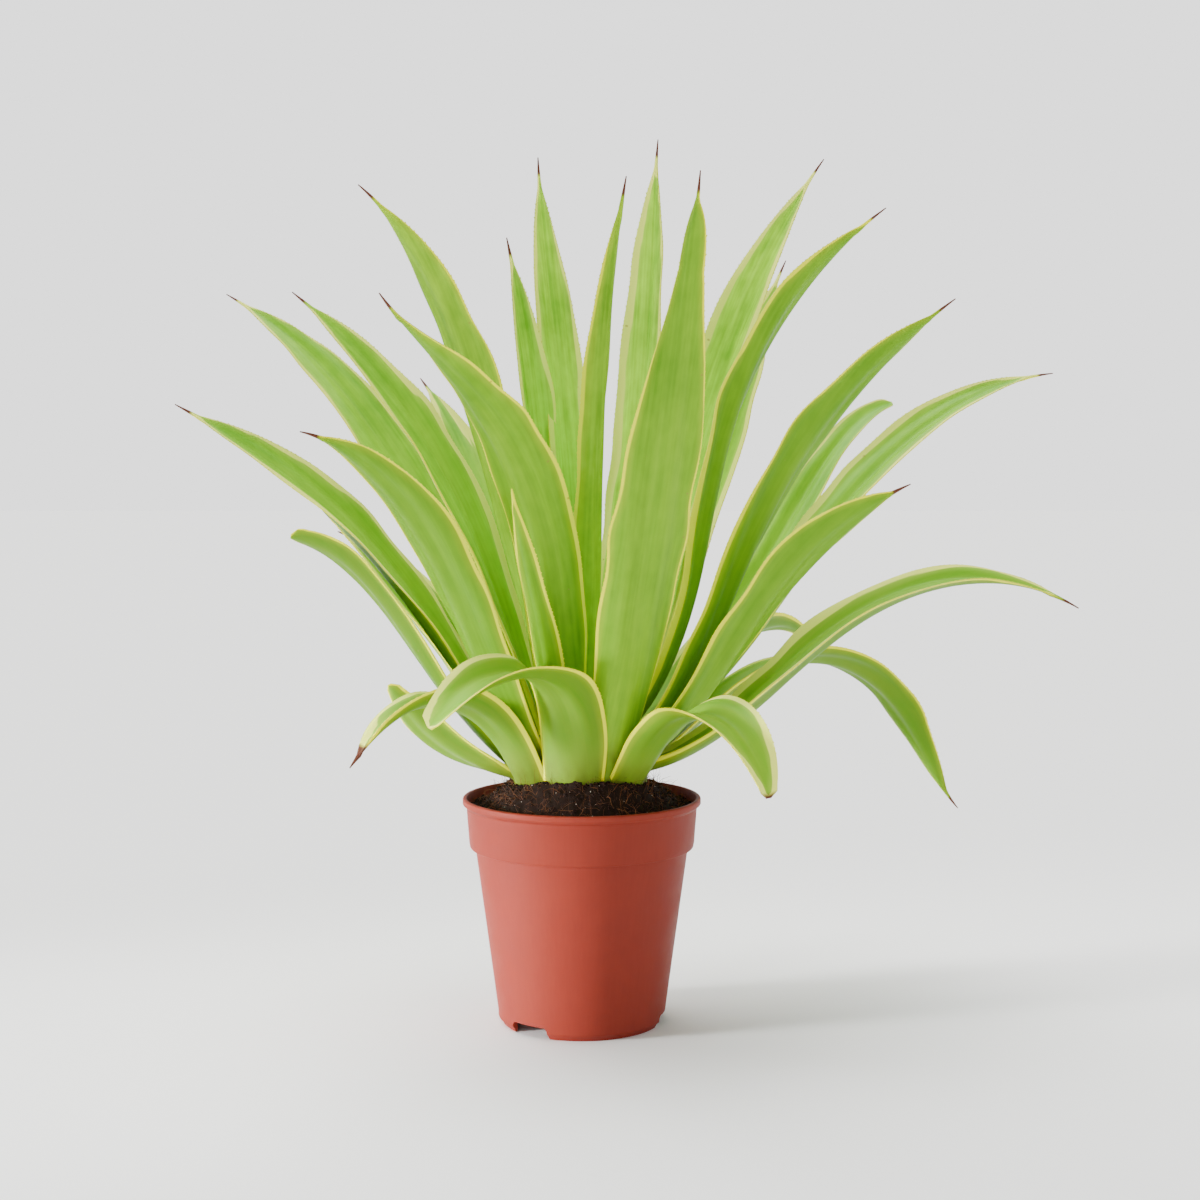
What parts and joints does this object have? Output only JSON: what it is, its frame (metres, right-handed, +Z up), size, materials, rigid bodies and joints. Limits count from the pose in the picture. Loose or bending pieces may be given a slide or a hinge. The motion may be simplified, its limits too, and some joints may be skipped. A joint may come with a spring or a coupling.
{
  "type": "potted agave",
  "caption": "Variegated rosette plant with stiff, arching sword leaves ending in spines, growing from peat soil in a round tapered nursery pot.",
  "frame": {"origin": "on the ground under the pot's axis, at the middle of the flat pad under its floor", "axes": "+Z up along the pot's axis; -Y towards the viewer, +X to the viewer's right"},
  "size_m": [0.6553, 0.5217, 0.6377],
  "materials": {
    "pot_plastic": "satin",
    "peat": "matte",
    "stem": "satin",
    "leaf": "satin"
  },
  "bodies": {
    "root": {"crown": "stem", "leaf_heart_01": "leaf", "leaf_heart_02": "leaf", "leaf_heart_03": "leaf", "leaf_heart_04": "leaf", "leaf_heart_05": "leaf", "leaf_heart_06": "leaf", "leaf_heart_07": "leaf", "leaf_heart_08": "leaf", "leaf_inner_01": "leaf", "leaf_inner_02": "leaf", "leaf_inner_03": "leaf", "leaf_inner_04": "leaf", "leaf_inner_05": "leaf", "leaf_inner_06": "leaf", "leaf_inner_07": "leaf", "leaf_middle_01": "leaf", "leaf_middle_02": "leaf", "leaf_middle_03": "leaf", "leaf_middle_04": "leaf", "leaf_middle_05": "leaf", "leaf_middle_06": "leaf", "leaf_middle_07": "leaf", "leaf_middle_08": "leaf", "leaf_middle_09": "leaf", "leaf_middle_10": "leaf", "leaf_outer_01": "leaf", "leaf_outer_02": "leaf", "leaf_outer_03": "leaf", "leaf_outer_04": "leaf", "leaf_outer_05": "leaf", "leaf_outer_06": "leaf", "leaf_outer_07": "leaf", "leaf_outer_08": "leaf", "leaf_outer_09": "leaf", "leaf_outer_10": "leaf", "leaf_outer_11": "leaf", "pot": "pot_plastic", "soil": "peat"}
  },
  "joints": []
}
